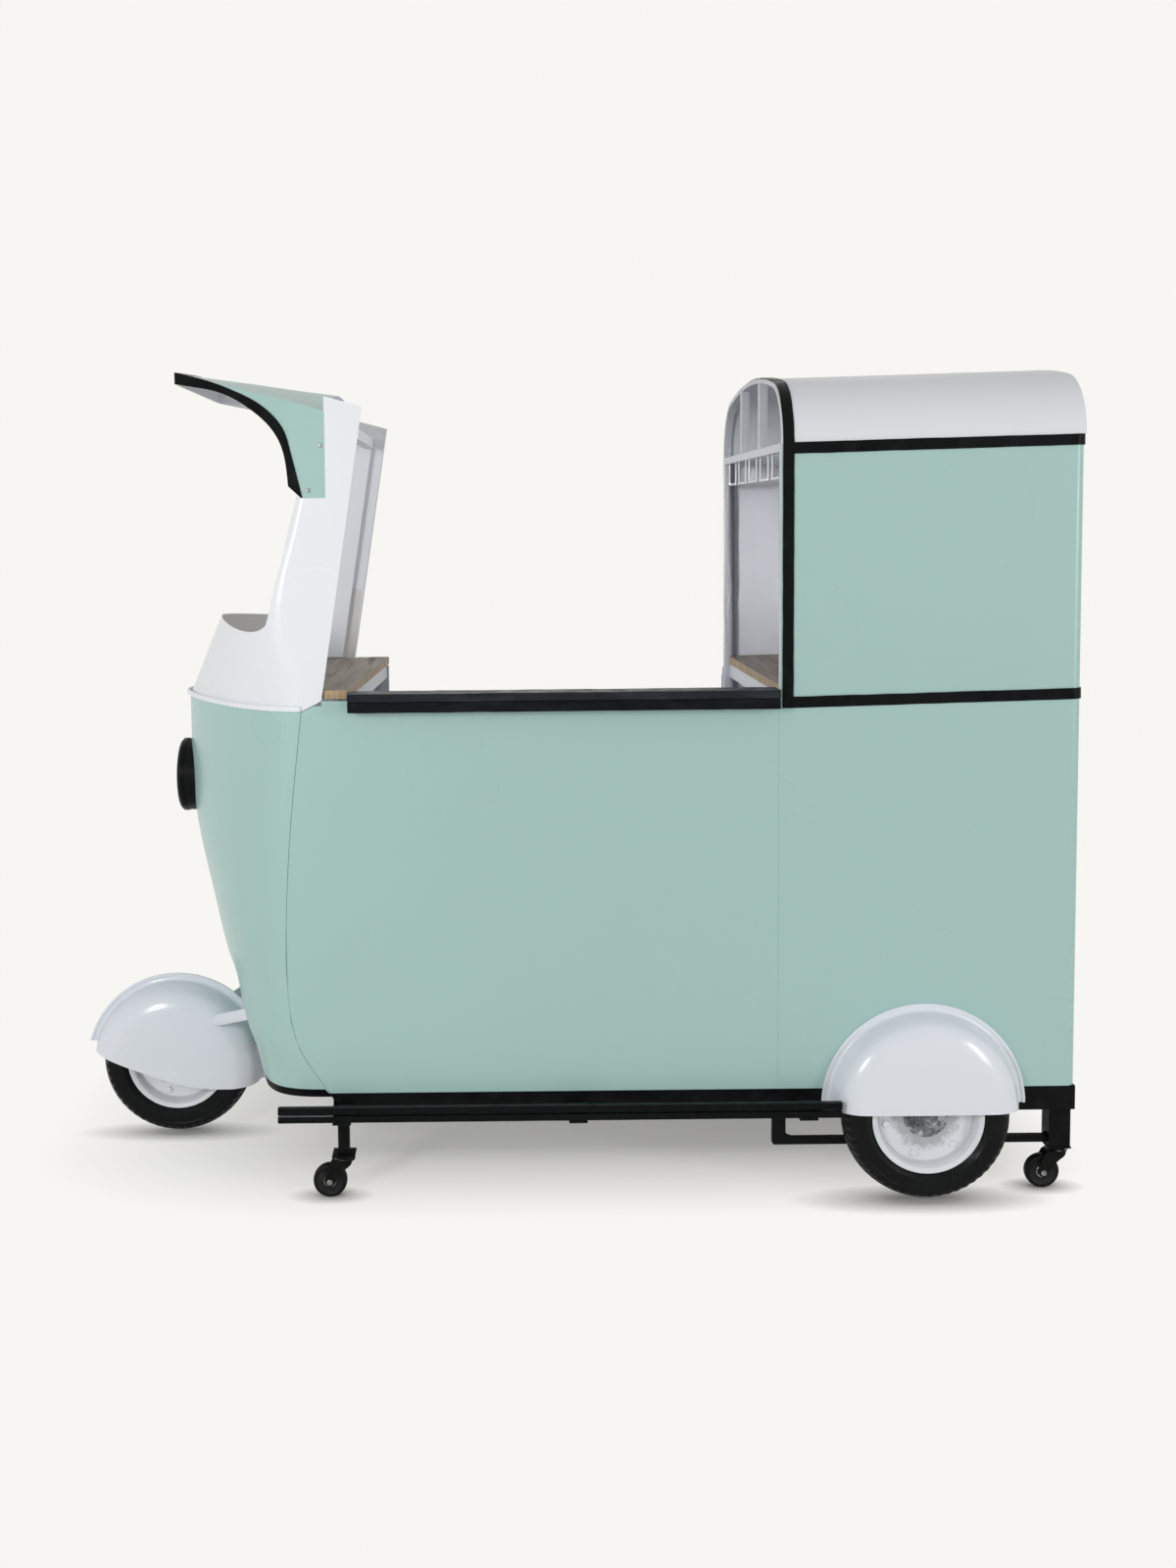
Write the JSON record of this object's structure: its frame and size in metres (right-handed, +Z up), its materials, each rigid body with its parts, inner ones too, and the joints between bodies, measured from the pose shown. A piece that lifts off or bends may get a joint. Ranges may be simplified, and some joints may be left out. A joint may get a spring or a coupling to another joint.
{
  "type": "bar cart",
  "caption": "Bar cart in the shape of a mint and white three-wheeled taxi, with counter, hutch and swivel casters.",
  "frame": {"origin": "on the floor, under the middle of the cart's box", "axes": "+X from the nose to the hutch, -Y to the customer's side, +Z up"},
  "size_m": [2.2859, 1.006, 1.8541],
  "materials": {
    "black_paint": "satin",
    "mint_paint": "satin",
    "white_paint": "satin",
    "grey_paint": "satin",
    "wood": "matte",
    "bright_steel": "satin",
    "lens": "gloss",
    "tyre_rubber": "matte",
    "hub_grey": "satin",
    "caster_black": "satin",
    "caster_rubber": "matte"
  },
  "bodies": {
    "cart": {"chassis_frame": "black_paint", "sill_tubes": "black_paint", "caster_legs": "black_paint", "axle_carriers": "black_paint", "foot_rail": "black_paint", "trim_strips": "black_paint", "visor_edge_trim": "black_paint", "headlight_bucket": "black_paint", "headlight_bezel": "black_paint", "counter_ledge": "black_paint", "nose_skirt": "black_paint", "nose_panel": "mint_paint", "near_side_panel": "mint_paint", "far_cab_panel": "mint_paint", "visor": "mint_paint", "near_rear_panel": "mint_paint", "far_rear_panel": "mint_paint", "lower_rear_panel": "mint_paint", "near_upper_panel": "mint_paint", "far_upper_panel": "mint_paint", "upper_rear_panel": "mint_paint", "roof_panel": "white_paint", "cab_shell": "white_paint", "cowl_bead": "white_paint", "front_fender": "white_paint", "front_fork_arms": "white_paint", "rear_fender_near": "white_paint", "rear_fender_far": "white_paint", "fender_stays": "white_paint", "body_frame": "grey_paint", "roof_hoops": "grey_paint", "hutch_crossbar": "grey_paint", "floor_panel": "grey_paint", "shelf_angles": "grey_paint", "pillar_liners": "grey_paint", "hutch_shelf": "wood", "dash_shelf": "wood", "stemware_rack": "bright_steel", "axles": "bright_steel", "body_screws": "bright_steel", "caster_plates": "bright_steel", "headlight_lens": "lens"},
    "front_road_wheel": {"front_wheel_tyre": "tyre_rubber", "front_wheel_rim": "white_paint", "front_wheel_hub": "hub_grey"},
    "near_road_wheel": {"near_wheel_tyre": "tyre_rubber", "near_wheel_rim": "white_paint", "near_wheel_hub": "hub_grey"},
    "far_road_wheel": {"far_wheel_tyre": "tyre_rubber", "far_wheel_rim": "white_paint", "far_wheel_hub": "hub_grey"},
    "front_near_caster": {"caster_fork_front_near": "caster_black"},
    "front_near_caster_wheel": {"caster_wheel_front_near": "caster_rubber"},
    "front_far_caster": {"caster_fork_front_far": "caster_black"},
    "front_far_caster_wheel": {"caster_wheel_front_far": "caster_rubber"},
    "rear_near_caster": {"caster_fork_rear_near": "caster_black"},
    "rear_near_caster_wheel": {"caster_wheel_rear_near": "caster_rubber"},
    "rear_far_caster": {"caster_fork_rear_far": "caster_black"},
    "rear_far_caster_wheel": {"caster_wheel_rear_far": "caster_rubber"}
  },
  "joints": [
    {"name": "front_wheel_spin", "type": "hinge", "parent": "cart", "child": "front_road_wheel", "pos_m": [-0.92225, 0, 0.195], "axis": [0, 1, 0], "continuous": true},
    {"name": "near_wheel_spin", "type": "hinge", "parent": "cart", "child": "near_road_wheel", "pos_m": [0.80375, -0.44, 0.195], "axis": [0, 1, 0], "continuous": true},
    {"name": "far_wheel_spin", "type": "hinge", "parent": "cart", "child": "far_road_wheel", "pos_m": [0.80375, 0.44, 0.195], "axis": [0, 1, 0], "continuous": true},
    {"name": "front_near_swivel", "type": "hinge", "parent": "cart", "child": "front_near_caster", "pos_m": [-0.48125, -0.3875, 0.09], "axis": [0, 0, 1], "continuous": true},
    {"name": "front_near_caster_roll", "type": "hinge", "parent": "front_near_caster", "child": "front_near_caster_wheel", "pos_m": [-0.51325, -0.3875, 0.038], "axis": [0, 1, 0], "continuous": true},
    {"name": "front_far_swivel", "type": "hinge", "parent": "cart", "child": "front_far_caster", "pos_m": [-0.48125, 0.3875, 0.09], "axis": [0, 0, 1], "continuous": true},
    {"name": "front_far_caster_roll", "type": "hinge", "parent": "front_far_caster", "child": "front_far_caster_wheel", "pos_m": [-0.51325, 0.3875, 0.038], "axis": [0, 1, 0], "continuous": true},
    {"name": "rear_near_swivel", "type": "hinge", "parent": "cart", "child": "rear_near_caster", "pos_m": [1.11675, -0.376, 0.09], "axis": [0, 0, 1], "continuous": true},
    {"name": "rear_near_caster_roll", "type": "hinge", "parent": "rear_near_caster", "child": "rear_near_caster_wheel", "pos_m": [1.08475, -0.376, 0.038], "axis": [0, 1, 0], "continuous": true},
    {"name": "rear_far_swivel", "type": "hinge", "parent": "cart", "child": "rear_far_caster", "pos_m": [1.11675, 0.376, 0.09], "axis": [0, 0, 1], "continuous": true},
    {"name": "rear_far_caster_roll", "type": "hinge", "parent": "rear_far_caster", "child": "rear_far_caster_wheel", "pos_m": [1.08475, 0.376, 0.038], "axis": [0, 1, 0], "continuous": true}
  ]
}
